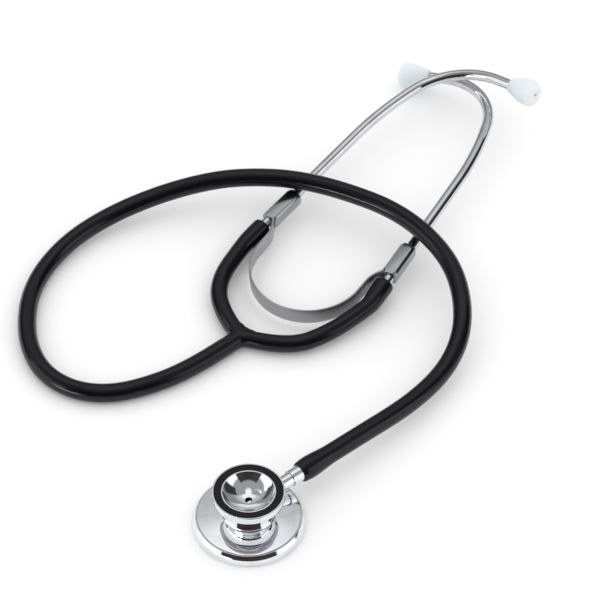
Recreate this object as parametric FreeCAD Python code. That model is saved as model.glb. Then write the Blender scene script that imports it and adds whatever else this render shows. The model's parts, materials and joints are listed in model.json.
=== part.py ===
import FreeCAD, Part
import math
import os

V = FreeCAD.Vector

# Dual-head stethoscope lying on a table, diaphragm down. Millimetres and degrees.
# Origin: the middle of the diaphragm's outer face. +Z is up, out of the bell.

# ---- clearances ----
running_gap = 0.04          # radial, between a piece and the one it turns in
seat_gap = 0.05             # between pieces that are screwed or pushed together
soft_gap = 0.3              # between soft pieces and moving ones

# ---- diaphragm side of the head ----
diaphragm_radius = 21.5
diaphragm_thickness = 0.4
diaphragm_step = 0.05       # the sheet's edge is pressed this much thinner, where the lip holds it
ring_wall = 1.9
ring_height = 5.1           # whole height of the retaining ring
ring_lip = 0.5              # thickness of the lip under the diaphragm's edge
ring_lip_reach = 1.15       # how far the lip reaches in under the edge
ring_top_narrowing = 1.2
chamber_edge_depth = 1.0
chamber_middle_depth = 2.2

# ---- hub and bell ----
plate_inner = V(12.8, 0, 6.0)   # where the plate's slope ends and its fillet to the neck starts
fillet_middle = V(11.1, 0, 6.7)
neck_radius = 10.4
neck_bottom = 8.4
neck_top = 12.2
bell_underside = V(11.2, 0, 14.8)
bell_radius = 15.0
bell_top = 19.7
bell_flange_bottom = 16.4
bell_flange_top = 17.2
bell_mouth_radius = 10.7
bell_lip_wall = 0.6
bell_depth = 5.75
bell_ring_wall = 0.6
bell_ring_foot = 0.6
non_chill_crown = 0.15      # how far the soft ring stands above the bell's lip
port_radius = 1.5

# ---- stem: distances run outwards from the head's axis ----
stem_azimuth = 39.5
stem_height = 11.2
stem_bore = 1.0
rotor_radius = 1.9
rotor_inner_end = -6.0
rotor_outer_end = 7.0
barrel_radius = 3.0
collar_radius = 3.5
collar_start = 22.0
collar_length = 5.0
barb_length = 12.0
barb_root_radius = 2.6
barb_ridge_radius = 3.0
boss_radius = 4.6
boss_end = 11.5
detent_place = -4.0         # along the stem
groove_place = 4.0
groove_depth = 0.45
groove_width = 1.3
o_ring_place = 5.9
o_ring_wire = 0.3
ball_radius = 0.8
dimple_radius = 0.9
dimple_depth = 0.25
grub_radius = 1.25          # threaded holes for the two grub screws
grub_length = 3.0
dog_radius = 0.5
spring_wire = 0.12
spring_turns = 4

# ---- hose ----
hose_radius = 4.1
hose_bore = 2.0
cuff_radius = 4.85
cuff_mouth_radius = 4.3
cuff_length = 16.0
last_run = 14.0             # the hose's straight start out of the cuff

# ---- yoke and its two branches ----
yoke_x = -5.0
yoke_y = 101.0
yoke_stem = 10.5
yoke_leg = 9.0
branch_radius = 3.85
branch_bore = 1.8
mouth_radius = 4.45
mouth_length = 14.0
mouth_taper = 5.0

# ---- binaural: a frame of its own, "along" it, "across" it to the right, and "up" ----
binaural_x = 3.4
binaural_y = 105.3
binaural_z = 4.3
binaural_azimuth = 56.4
binaural_rise = 3.7
mouth_along = 50.5          # where the rubber branches end

ear_tube_radius = 2.5
ear_tube_wall = 0.6
ear_tube_across = 32.3      # half the distance between the tubes, at mouth_along
ear_tube_converge = 4.0     # each tube leans this much towards the other
grip_length = 12.0          # how deep a tube sits in its branch
straight_length = 68.0
gentle_radius = 150.0
gentle_angle = 15.0
tight_radius = 30.5
tight_angle = {"left": 79.0, "right": 88.0}
end_length = {"left": 8.4, "right": 4.0}
bend_lift = {"left": 12.0, "right": -9.0}   # how far each bend is turned up from flat

# ---- eartips and the threaded nipples they sit on ----
nipple_flange = 0.8
nipple_spigot = 4.0
nipple_length = 5.5
nipple_root_radius = 2.2
nipple_ridge_radius = 2.5
nipple_bore = 1.1
eartip_length = 14.5
eartip_radius = 6.15
eartip_mouth_radius = 3.3
eartip_widest = 9.6         # distance of the widest place from the mouth
eartip_hole = 1.5

# ---- leaf spring and its clips ----
spring_width = 8.0
spring_thickness = 0.8
spring_radius = 26.0
spring_centre_along = 39.0
spring_straight = 9.6       # from the bow's end to the knee
spring_tang_width = 5.4
clip_start = 54.5
clip_length = 19.0
clip_wall = 0.6
clip_height = 6.8
clip_corner = 2.0

# ---- worked out from the above ----
table = -ring_lip
ring_bore = diaphragm_radius + seat_gap
ring_radius = ring_bore + ring_wall
ring_top = table + ring_height
rim_radius = ring_bore - seat_gap
lip_inner = diaphragm_radius - ring_lip_reach
hose_height = table + hose_radius
collar_end = collar_start + collar_length
barb_end = collar_end + barb_length
cuff_end = collar_end + cuff_length
stem_direction = V(math.cos(math.radians(stem_azimuth)), math.sin(math.radians(stem_azimuth)), 0)
stem_origin = V(0, 0, stem_height)
ear_tube_bore = ear_tube_radius - ear_tube_wall
sides = {"left": -1, "right": 1}
yoke_centre = V(yoke_x, yoke_y, hose_height)

# The hose's route from the yoke to the cuff: x, y, and height above the table.
# It runs out to the left, comes back over both ear tubes, and swings round to the stem.
# Its two ends are worked out, so that they meet the yoke's stub and the cuff squarely.
hose_route = [
    (-27.5, 81.1, 4.1),
    (-48.3, 70.7, 4.1),
    (-63.4, 67.7, 4.1),
    (-77.6, 70.9, 4.1),
    (-89.2, 80.4, 4.1),
    (-95.8, 94.4, 4.1),
    (-98.2, 109.4, 4.1),
    (-97.5, 127.3, 4.1),
    (-91.3, 145.1, 4.3),
    (-79.4, 161.8, 5.2),
    (-61.2, 175.2, 7.7),
    (-38.8, 183.9, 13.5),
    (-16.5, 187.4, 20.0),
    (2.0, 187.6, 24.0),
    (20.3, 185.6, 25.6),
    (40.6, 178.5, 25.6),
    (63.4, 166.1, 25.6),
    (80.2, 147.2, 24.6),
    (90.0, 125.7, 21.5),
    (92.0, 101.3, 14.0),
    (84.9, 80.8, 7.5),
    (68.9, 59.2, 8.5),
]


# ---- the binaural's frame ----
def binaural_axes():
    azimuth = math.radians(binaural_azimuth)
    rise = math.radians(binaural_rise)
    along = V(math.cos(azimuth) * math.cos(rise), math.sin(azimuth) * math.cos(rise), math.sin(rise))
    across = V(math.sin(azimuth), -math.cos(azimuth), 0)
    return along, across, across.cross(along)


binaural_origin = V(binaural_x, binaural_y, binaural_z)
axis_along, axis_across, axis_up = binaural_axes()


def in_binaural(along, across, up=0.0):
    return binaural_origin + axis_along * along + axis_across * across + axis_up * up


def tube_axis(side):
    """Direction of an ear tube's straight part, and the direction towards the other tube."""
    lean = math.radians(ear_tube_converge)
    towards = axis_across * -side
    axis = axis_along * math.cos(lean) + towards * math.sin(lean)
    inward = towards * math.cos(lean) - axis_along * math.sin(lean)
    return axis, inward


def on_tube_axis(side, distance):
    """A point on an ear tube's straight axis, measured from its branch's mouth."""
    axis, inward = tube_axis(side)
    return in_binaural(mouth_along, side * ear_tube_across) + axis * distance


# ---- shapes ----
def moved_onto(shape, point, direction):
    """Carries a shape made along +Z from the origin to a point, facing a direction."""
    shape.Placement = FreeCAD.Placement(point, FreeCAD.Rotation(V(0, 0, 1), direction))
    return shape


def turned(outline):
    """Turns a closed outline of (radius, height) points about Z.
    An entry that holds two points is an arc through the first to the second."""
    edges = []
    here = V(outline[0][0], 0, outline[0][1])
    for step in outline[1:] + [outline[0]]:
        if isinstance(step[0], tuple):
            through = V(step[0][0], 0, step[0][1])
            there = V(step[1][0], 0, step[1][1])
            edges.append(Part.Arc(here, through, there).toShape())
        else:
            there = V(step[0], 0, step[1])
            if there.distanceToPoint(here) > 1e-6:
                edges.append(Part.LineSegment(here, there).toShape())
        here = there
    face = Part.Face(Part.Wire(edges))
    return face.revolve(V(0, 0, 0), V(0, 0, 1), 360)


def rod(radius, start, end, point=V(0, 0, 0), direction=V(0, 0, 1)):
    """A cylinder between two distances from a point."""
    return Part.makeCylinder(radius, end - start, point + direction * start, direction)


def rounded_path(points):
    """Straight runs joined by arcs as large as the runs allow. Returns the wire and the radii."""
    edges = []
    radii = []
    here = points[0]
    for before, corner, after in zip(points, points[1:], points[2:]):
        back = (before - corner).normalize()
        onward = (after - corner).normalize()
        half_turn = (math.pi - back.getAngle(onward)) / 2
        reach = 0.45 * min(before.distanceToPoint(corner), after.distanceToPoint(corner))
        radius = reach / math.tan(half_turn)
        inward = (back + onward).normalize()
        middle = corner + inward * (radius / math.cos(half_turn) - radius)
        start = corner + back * reach
        end = corner + onward * reach
        edges.append(Part.LineSegment(here, start).toShape())
        edges.append(Part.Arc(start, middle, end).toShape())
        radii.append(radius)
        here = end
    edges.append(Part.LineSegment(here, points[-1]).toShape())
    return Part.Wire(edges), radii


def swept(wire, radius):
    """A round bar along a path."""
    start = wire.Edges[0]
    direction = start.tangentAt(start.FirstParameter)
    circle = Part.makeCircle(radius, start.valueAt(start.FirstParameter), direction)
    return wire.makePipe(Part.Face(Part.Wire([circle])))


def swept_tube(wire, outer, bore):
    return swept(wire, outer).cut(swept(wire, bore))


# ---- head ----
def bell_bowl_radius():
    return (bell_mouth_radius ** 2 + bell_depth ** 2) / (2 * bell_depth)


def across_stem(place, distance):
    """A point beside the stem, level with it. The detent is on the positive side."""
    sideways = V(-stem_direction.y, stem_direction.x, 0)
    return stem_origin + stem_direction * place + sideways * distance


def neck_half_chord(place):
    return math.sqrt(neck_radius ** 2 - place ** 2)


def grub_hole(place, side, inner_distance, radius):
    axis = (across_stem(place, side) - across_stem(place, 0))
    return Part.makeCylinder(radius, neck_radius, across_stem(place, side * inner_distance), axis)


def chestpiece_body():
    lip_outer = bell_mouth_radius + bell_lip_wall
    flange = bell_radius - seat_gap
    outline = [
        (0, diaphragm_thickness),
        (rim_radius, diaphragm_thickness),
        (rim_radius, ring_top + 0.05),
        (rim_radius - 0.25, ring_top + 0.3),
        (plate_inner.x, plate_inner.z),
        ((fillet_middle.x, fillet_middle.z), (neck_radius, neck_bottom)),
        (neck_radius, neck_top),
        ((bell_underside.x, bell_underside.z), (flange - 1.6, bell_flange_bottom)),
        (flange, bell_flange_bottom),
        (flange, bell_flange_top),
        (lip_outer, bell_flange_top),
        (lip_outer, bell_top - 0.1),
        (lip_outer - 0.1, bell_top),
        (0, bell_top),
    ]
    body = turned(outline)
    body = body.fuse(rod(boss_radius, 0, boss_end, stem_origin, stem_direction))

    bowl = Part.makeSphere(bell_bowl_radius(), V(0, 0, bell_top - bell_depth + bell_bowl_radius()))
    chamber = turned([
        (0, diaphragm_thickness),
        (lip_inner, diaphragm_thickness),
        (lip_inner, diaphragm_thickness + chamber_edge_depth),
        (0, diaphragm_thickness + chamber_middle_depth),
    ])
    port = rod(port_radius, diaphragm_thickness, bell_top)
    stem_hole = rod(rotor_radius + running_gap, rotor_inner_end - 0.2, rotor_outer_end,
                    stem_origin, stem_direction)
    barrel_hole = rod(barrel_radius + running_gap, rotor_outer_end - 0.1, collar_start,
                      stem_origin, stem_direction)
    hole_start = rotor_radius - grub_radius / 2
    spring_hole = grub_hole(detent_place, 1, hole_start, ball_radius + seat_gap)
    detent_thread = grub_hole(detent_place, 1, grub_inner(detent_place) - seat_gap, grub_radius)
    retaining_thread = grub_hole(groove_place, -1, hole_start, grub_radius)
    for hole in (bowl, chamber, port, stem_hole, barrel_hole, spring_hole, detent_thread,
                 retaining_thread):
        body = body.cut(hole)
    return body


def grub_inner(place):
    """Where a grub screw's inner end lies, with its head level with the neck."""
    return neck_half_chord(place) - 0.2 - grub_length


def bell_ring():
    inner = bell_mouth_radius + bell_lip_wall + seat_gap
    wall_inner = bell_radius - bell_ring_wall
    return turned([
        (inner, bell_flange_top),
        (bell_radius, bell_flange_top),
        (bell_radius, bell_top - 0.2),
        ((bell_radius - 0.06, bell_top - 0.06), (bell_radius - 0.2, bell_top)),
        (wall_inner, bell_top),
        (wall_inner, bell_flange_top + bell_ring_foot),
        (inner, bell_flange_top + bell_ring_foot),
    ])


def non_chill_ring():
    inner = bell_mouth_radius + bell_lip_wall + seat_gap
    outer = bell_radius - bell_ring_wall - seat_gap
    bottom = bell_flange_top + bell_ring_foot
    middle = (inner + outer) / 2
    return turned([
        (inner, bottom),
        (outer, bottom),
        (outer, bell_top - 0.15),
        ((middle, bell_top + non_chill_crown), (inner, bell_top - 0.15)),
    ])


def diaphragm():
    face_radius = lip_inner - seat_gap
    return turned([
        (0, 0),
        (face_radius, 0),
        (face_radius, diaphragm_step),
        (diaphragm_radius, diaphragm_step),
        (diaphragm_radius, diaphragm_thickness),
        (0, diaphragm_thickness),
    ])


def diaphragm_ring():
    top_outer = ring_radius - ring_top_narrowing
    shoulder = table + 0.42 * ring_height
    return turned([
        (lip_inner, table),
        (ring_radius - 0.5, table),
        ((ring_radius - 0.15, table + 0.15), (ring_radius, table + 0.5)),
        (ring_radius, shoulder),
        ((ring_radius - 0.25 * ring_top_narrowing, (shoulder + ring_top) / 2), (top_outer, ring_top)),
        (ring_bore, ring_top),
        (ring_bore, diaphragm_step),
        (lip_inner, diaphragm_step),
    ])


# ---- detent, in the neck beside the stem ----
def detent_ball():
    return Part.makeSphere(ball_radius, across_stem(detent_place, rotor_radius + 0.02 + ball_radius))


def detent_spring():
    start = rotor_radius + 0.02 + 2 * ball_radius + spring_wire
    height = grub_inner(detent_place) - spring_wire - start
    coil_radius = ball_radius - 2 * spring_wire
    coil = Part.makeHelix(height / spring_turns, height, coil_radius)
    wire_end = Part.Wire([Part.makeCircle(spring_wire, V(coil_radius, 0, 0), V(0, 1, 0))])
    spring = Part.Wire(coil.Edges).makePipeShell([wire_end], True, True)
    direction = across_stem(detent_place, 1) - across_stem(detent_place, 0)
    return moved_onto(spring, across_stem(detent_place, start), direction)


def grub_screw(length):
    """A slotted grub screw along +Z, with its slot at the far end."""
    screw = Part.makeCylinder(grub_radius - seat_gap, length)
    slot = Part.makeBox(4 * grub_radius, 0.4, 0.6, V(-2 * grub_radius, -0.2, length - 0.6))
    return screw.cut(slot)


def detent_screw():
    inner = grub_inner(detent_place)
    direction = across_stem(detent_place, 1) - across_stem(detent_place, 0)
    return moved_onto(grub_screw(grub_length), across_stem(detent_place, inner), direction)


def retaining_screw():
    """A grub screw whose dog point rides in the rotor's groove and keeps the stem in."""
    inner = rotor_radius + 0.5
    outer = neck_half_chord(groove_place) - 0.2
    dog = inner - (rotor_radius - groove_depth) - 0.1
    screw = grub_screw(outer - inner).fuse(rod(dog_radius, -dog, 0.1))
    direction = across_stem(groove_place, -1) - across_stem(groove_place, 0)
    return moved_onto(screw, across_stem(groove_place, -inner), direction)


# ---- stem ----
def stem():
    groove_root = rotor_radius - groove_depth
    ring_root = rotor_radius + running_gap - 2 * o_ring_wire
    ring_half = o_ring_wire + seat_gap
    half_groove = groove_width / 2
    barb = [(barb_root_radius, collar_end + 1.5)]
    for ridge in range(3):
        foot = collar_end + 1.5 + ridge * (barb_length - 2) / 3
        barb.append((barb_ridge_radius, foot + 0.6))
        barb.append((barb_root_radius, foot + (barb_length - 2) / 3))
    shape = turned([
        (0, rotor_inner_end),
        (rotor_radius - 0.3, rotor_inner_end),
        (rotor_radius, rotor_inner_end + 0.3),
        (rotor_radius, groove_place - half_groove),
        (groove_root, groove_place - half_groove),
        (groove_root, groove_place + half_groove),
        (rotor_radius, groove_place + half_groove),
        (rotor_radius, o_ring_place - ring_half),
        (ring_root, o_ring_place - ring_half),
        (ring_root, o_ring_place + ring_half),
        (rotor_radius, o_ring_place + ring_half),
        (rotor_radius, rotor_outer_end),
        (barrel_radius, rotor_outer_end),
        (barrel_radius, collar_start),
        (collar_radius, collar_start),
        (collar_radius, collar_end),
        (barb_root_radius, collar_end),
    ] + barb + [
        (barb_root_radius, barb_end - 0.5),
        (barb_root_radius - 0.4, barb_end),
        (0, barb_end),
    ])
    shape = shape.cut(rod(stem_bore, -stem_bore, barb_end + 1))
    moved_onto(shape, stem_origin, stem_direction)
    shape = shape.cut(rod(stem_bore, 0, rotor_radius + 1, stem_origin, V(0, 0, -1)))
    for side in (1, -1):
        centre = across_stem(detent_place, side * (rotor_radius + dimple_radius - dimple_depth))
        shape = shape.cut(Part.makeSphere(dimple_radius, centre))
    return shape


def stem_o_ring():
    middle = rotor_radius + running_gap / 2 - o_ring_wire
    ring = Part.makeTorus(middle, o_ring_wire - running_gap / 2)
    return moved_onto(ring, stem_origin + stem_direction * o_ring_place, stem_direction)


# ---- hose ----
def hose_cuff():
    """The hose's end, stretched over the stem's barb."""
    bore = barb_ridge_radius + seat_gap
    swell = cuff_radius - hose_radius
    shape = turned([
        (bore, collar_end),
        (cuff_mouth_radius, collar_end),
        ((cuff_mouth_radius + 0.4, collar_end + 0.35), (cuff_radius - 0.1 * swell, collar_end + 2.5)),
        ((cuff_radius, collar_end + 5.0), (cuff_radius - 0.15 * swell, collar_end + 8.0)),
        (hose_radius, cuff_end),
        (hose_bore, cuff_end),
        (bore, barb_end + 1),
    ])
    return moved_onto(shape, stem_origin, stem_direction)


def hose_points():
    route = [V(x, y, table + height) for x, y, height in hose_route]
    start = yoke_centre + (route[0] - yoke_centre).normalize() * yoke_stem
    before_end = stem_origin + stem_direction * (cuff_end + last_run)
    return [start] + route + [before_end, stem_origin + stem_direction * cuff_end]


def hose():
    wire, radii = rounded_path(hose_points())
    tube = swept_tube(wire, hose_radius, hose_bore)
    section = math.pi * (hose_radius ** 2 - hose_bore ** 2)
    print("hose length %.1f, volume against section x length %.4f" %
          (wire.Length, tube.Volume / (section * wire.Length)))
    print("hose radii", " ".join("%.0f" % radius for radius in radii))
    return tube


# ---- yoke and branches ----
def branch_points(side):
    """From the yoke to the branch's mouth. The last run lies on the ear tube's axis."""
    bends = {
        "left": [in_binaural(1.5, -22.5), in_binaural(15.0, -31.5)],
        "right": [in_binaural(-1.5, 17.0), in_binaural(13.5, 27.0)],
    }
    sign = sides[side]
    end = on_tube_axis(sign, 0)
    before_end = on_tube_axis(sign, -grip_length - 0.5)
    return [yoke_centre] + bends[side] + [before_end, end]


def yoke_direction(stub):
    towards = hose_points()[0] if stub == "stem" else branch_points(stub)[1]
    return (towards - yoke_centre).normalize()


def yoke():
    """The moulded Y: a stub for the hose and a stub for each branch."""
    lengths = {"stem": yoke_stem, "left": yoke_leg, "right": yoke_leg}
    shape = Part.makeSphere(hose_radius, yoke_centre)
    bores = Part.makeSphere(hose_bore, yoke_centre)
    for name, length in lengths.items():
        radius = hose_radius if name == "stem" else branch_radius
        bore = hose_bore if name == "stem" else branch_bore
        direction = yoke_direction(name)
        shape = shape.fuse(rod(radius, 0, length, yoke_centre, direction))
        bores = bores.fuse(rod(bore, 0, length + 1, yoke_centre, direction))
    return shape.cut(bores)


def branch(side):
    points = branch_points(side)
    points[0] = yoke_centre + yoke_direction(side) * yoke_leg
    wire, radii = rounded_path(points)
    print(side, "branch length %.1f, radii" % wire.Length, " ".join("%.0f" % r for r in radii))
    axis, inward = tube_axis(sides[side])
    mouth = turned([
        (0, -mouth_length),
        (branch_radius, -mouth_length),
        (mouth_radius, mouth_taper - mouth_length),
        (mouth_radius, -0.8),
        ((mouth_radius - 0.25, -0.25), (mouth_radius - 0.8, 0)),
        (0, 0),
    ])
    moved_onto(mouth, points[-1], axis)
    shape = swept(wire, branch_radius).fuse(mouth)
    shape = shape.cut(swept(wire, branch_bore))
    socket = rod(ear_tube_radius + running_gap, -grip_length - 0.3, 1, points[-1], axis)
    return shape.cut(socket)


# ---- leaf spring and clips ----
def tang_offset():
    """How far inside the ear tube's axis the middle of the spring's end lies."""
    return ear_tube_radius + running_gap + seat_gap + spring_thickness / 2


def spring_end_points(side):
    """The flat end of the spring, lying along the inner side of the ear tube."""
    axis, inward = tube_axis(side)
    start = clip_start - mouth_along
    end = start + clip_length - 0.5
    return [on_tube_axis(side, place) + inward * tang_offset() for place in (start - soft_gap, end)]


def leaf_spring():
    """A U of flat strip that pushes the two ear tubes together."""
    crown = spring_centre_along - spring_radius
    quarter = spring_radius * math.sin(math.radians(45))
    halves = []
    for side in (-1, 1):
        flank = in_binaural(spring_centre_along, side * spring_radius)
        middle = in_binaural(spring_centre_along - quarter, side * quarter)
        bow = Part.Arc(in_binaural(crown, 0), middle, flank).toShape()
        knee = in_binaural(spring_centre_along + spring_straight, side * spring_radius)
        clip_point, tang_end = spring_end_points(side)
        lead_in, radii = rounded_path([flank, knee, clip_point])
        wide_path = Part.Wire([bow] + lead_in.Edges)
        wide = swept_strip(wide_path, spring_width)
        tang = swept_strip(Part.Wire([Part.LineSegment(clip_point, tang_end).toShape()]),
                           spring_tang_width)
        halves.append(wide.fuse(tang))
    return halves[0].fuse(halves[1])


def swept_strip(wire, width):
    """Flat strip along a path that lies in the binaural's plane."""
    start = wire.Edges[0]
    point = start.valueAt(start.FirstParameter)
    direction = start.tangentAt(start.FirstParameter)
    flat = axis_up.cross(direction).normalize() * (spring_thickness / 2)
    tall = axis_up * (width / 2)
    corners = [point + flat + tall, point - flat + tall, point - flat - tall, point + flat - tall]
    return wire.makePipe(Part.Face(Part.makePolygon(corners + corners[:1])))


def clip(side):
    """A sleeve crimped round the ear tube and the spring's tang."""
    axis, inward = tube_axis(side)
    inner_side = tang_offset() + spring_thickness / 2 + seat_gap + clip_wall
    outer_side = ear_tube_radius + running_gap + clip_wall
    box = Part.makeBox(inner_side + outer_side, clip_height, clip_length,
                       V(-outer_side, -clip_height / 2, 0))
    upright = [edge for edge in box.Edges if abs(edge.tangentAt(edge.FirstParameter).z) > 0.9]
    block = box.makeFillet(clip_corner, upright)
    tang_slot = Part.makeBox(tang_offset() + spring_thickness / 2 + seat_gap,
                             spring_tang_width + 2 * seat_gap, clip_length + 2,
                             V(0, -spring_tang_width / 2 - seat_gap, -1))
    block = block.cut(tang_slot).cut(rod(ear_tube_radius + running_gap, -1, clip_length + 1))
    place = FreeCAD.Placement(on_tube_axis(side, clip_start - mouth_along),
                              FreeCAD.Rotation(inward, V(0, 0, 0), axis, "ZXY"))
    block.Placement = place
    return block


# ---- ear tubes, nipples and eartips ----
def tube_bend_frame(name):
    """The straight axis, and the direction that the tube bends towards."""
    side = sides[name]
    axis, inward = tube_axis(side)
    lift = math.radians(bend_lift[name])
    return axis, inward * math.cos(lift) + axis_up * math.sin(lift)


def bend(start, direction, towards, radius, angle):
    """A tangent arc. Returns the edge, its end, and the two directions there."""
    centre = start + towards * radius
    half = math.radians(angle) / 2
    full = math.radians(angle)
    middle = centre - towards * (radius * math.cos(half)) + direction * (radius * math.sin(half))
    end = centre - towards * (radius * math.cos(full)) + direction * (radius * math.sin(full))
    new_direction = direction * math.cos(full) + towards * math.sin(full)
    new_towards = towards * math.cos(full) - direction * math.sin(full)
    return Part.Arc(start, middle, end).toShape(), end, new_direction, new_towards


def ear_tube_path(name):
    """Returns the tube's centreline, its end, and the way that the end faces."""
    side = sides[name]
    direction, towards = tube_bend_frame(name)
    foot = on_tube_axis(side, -grip_length)
    knee = on_tube_axis(side, straight_length)
    edges = [Part.LineSegment(foot, knee).toShape()]
    for radius, angle in ((gentle_radius, gentle_angle), (tight_radius, tight_angle[name])):
        arc, knee, direction, towards = bend(knee, direction, towards, radius, angle)
        edges.append(arc)
    end = knee + direction * end_length[name]
    edges.append(Part.LineSegment(knee, end).toShape())
    return Part.Wire(edges), end, direction


def ear_tube(name):
    wire, end, direction = ear_tube_path(name)
    return swept_tube(wire, ear_tube_radius, ear_tube_bore)


def tip_nipple(name):
    """The threaded end that is pressed into the ear tube and carries the eartip."""
    wire, end, direction = ear_tube_path(name)
    thread = []
    ridges = 4
    pitch = (nipple_length - 0.8) / ridges
    for ridge in range(ridges):
        foot = nipple_flange + 0.5 + ridge * pitch
        thread += [(nipple_root_radius, foot), (nipple_ridge_radius, foot + pitch / 2)]
    top = nipple_flange + nipple_length
    shape = turned([
        (nipple_bore, -nipple_spigot),
        (ear_tube_bore - seat_gap, -nipple_spigot),
        (ear_tube_bore - seat_gap, 0),
        (ear_tube_radius, 0),
        (ear_tube_radius, nipple_flange),
        (nipple_root_radius, nipple_flange),
    ] + thread + [
        (nipple_root_radius, top - 0.3),
        (nipple_root_radius, top),
        (nipple_bore, top),
    ])
    return moved_onto(shape, end, direction)


def eartip(name):
    wire, end, direction = ear_tube_path(name)
    socket = nipple_ridge_radius + seat_gap
    socket_depth = nipple_length + soft_gap
    dome = eartip_length - 2.6
    shape = turned([
        (socket, 0),
        (eartip_mouth_radius - 0.5, 0),
        ((eartip_mouth_radius - 0.15, 0.15), (eartip_mouth_radius, 0.5)),
        ((0.5 * (eartip_mouth_radius + eartip_radius) + 0.5, 0.5 * eartip_widest - 0.2),
         (eartip_radius, eartip_widest)),
        ((eartip_radius - 0.5, dome - 0.3), (eartip_radius - 1.7, eartip_length - 0.9)),
        ((0.5 * eartip_radius, eartip_length - 0.25), (eartip_hole + 0.5, eartip_length)),
        ((eartip_hole + 0.12, eartip_length - 0.15), (eartip_hole, eartip_length - 0.5)),
        (eartip_hole, socket_depth),
        (socket, socket_depth),
    ])
    return moved_onto(shape, end + direction * (nipple_flange + seat_gap), direction)


# ---- all the pieces ----
pieces = {
    "chestpiece_body": chestpiece_body(),
    "bell_ring": bell_ring(),
    "non_chill_ring": non_chill_ring(),
    "diaphragm": diaphragm(),
    "diaphragm_ring": diaphragm_ring(),
    "detent_ball": detent_ball(),
    "detent_spring": detent_spring(),
    "detent_screw": detent_screw(),
    "retaining_screw": retaining_screw(),
    "stem": stem(),
    "stem_o_ring": stem_o_ring(),
    "hose": hose(),
    "hose_cuff": hose_cuff(),
    "yoke": yoke(),
    "leaf_spring": leaf_spring(),
}
for name, side in sides.items():
    pieces[name + "_branch"] = branch(name)
    pieces[name + "_clip"] = clip(side)
    pieces[name + "_ear_tube"] = ear_tube(name)
    pieces[name + "_tip_nipple"] = tip_nipple(name)
    pieces[name + "_eartip"] = eartip(name)

os.makedirs("parts", exist_ok=True)
for name, shape in pieces.items():
    shape.exportStep("parts/" + name + ".step")
    print("%-18s valid %s, solids %d, volume %.1f" %
          (name, shape.isValid(), len(shape.Solids), shape.Volume))
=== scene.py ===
import json
import math

import bmesh
import bpy
from mathutils import Matrix, Vector


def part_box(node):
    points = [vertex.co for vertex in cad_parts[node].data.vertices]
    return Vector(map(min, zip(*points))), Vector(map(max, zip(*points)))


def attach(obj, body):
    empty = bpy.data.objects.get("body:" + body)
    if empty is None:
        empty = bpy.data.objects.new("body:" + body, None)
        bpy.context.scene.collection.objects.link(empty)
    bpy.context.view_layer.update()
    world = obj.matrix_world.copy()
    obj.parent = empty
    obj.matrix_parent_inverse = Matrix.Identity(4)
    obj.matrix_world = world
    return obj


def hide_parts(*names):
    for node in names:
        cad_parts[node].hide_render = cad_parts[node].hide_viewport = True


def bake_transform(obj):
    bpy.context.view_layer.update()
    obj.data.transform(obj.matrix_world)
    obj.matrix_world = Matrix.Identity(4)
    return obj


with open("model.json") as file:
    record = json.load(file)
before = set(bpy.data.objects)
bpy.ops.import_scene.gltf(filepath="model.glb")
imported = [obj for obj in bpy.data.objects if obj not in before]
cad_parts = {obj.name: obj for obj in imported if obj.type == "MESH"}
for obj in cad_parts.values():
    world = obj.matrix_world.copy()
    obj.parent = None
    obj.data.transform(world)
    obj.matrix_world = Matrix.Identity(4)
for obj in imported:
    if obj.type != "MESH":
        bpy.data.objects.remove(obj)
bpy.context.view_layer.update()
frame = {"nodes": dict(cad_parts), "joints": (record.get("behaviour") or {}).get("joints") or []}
scene = bpy.context.scene
mm = 0.001
joints = {joint["name"]: joint for joint in frame["joints"]}


def jointPoint(name):
    return Vector(joints[name]["pos_m"])


def jointAxis(name):
    return Vector(joints[name]["axis"]).normalized()


cameraSetup = {
    "place": (0.020979, -0.841635, 1.009964),
    "tilt": 43.8,  # degrees up from straight down
    "lens": 190.9,
}
camera = bpy.data.objects.new("camera", bpy.data.cameras.new("camera"))
camera.location = cameraSetup["place"]
camera.rotation_euler = (math.radians(cameraSetup["tilt"]), 0, 0)
camera.data.lens = cameraSetup["lens"]
camera.data.clip_start = 0.01
scene.collection.objects.link(camera)
scene.camera = camera
print("camera ready")


# small helpers for shader trees
def addNode(tree, kind, inputs=None, **settings):
    node = tree.nodes.new(kind)
    for key, value in settings.items():
        setattr(node, key, value)
    for key, value in (inputs or {}).items():
        if isinstance(value, bpy.types.NodeSocket):
            tree.links.new(value, node.inputs[key])
        else:
            node.inputs[key].default_value = value
    return node


def newGroup(name, inputs, outputs):
    group = bpy.data.node_groups.new(name, "ShaderNodeTree")
    for label, kind, value in inputs:
        socket = group.interface.new_socket(name=label, in_out="INPUT", socket_type=kind)
        if value is not None:
            socket.default_value = value
    for label in outputs:
        group.interface.new_socket(name=label, in_out="OUTPUT", socket_type="NodeSocketFloat")
    start = group.nodes.new("NodeGroupInput")
    end = group.nodes.new("NodeGroupOutput")
    return group, start, end


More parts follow.
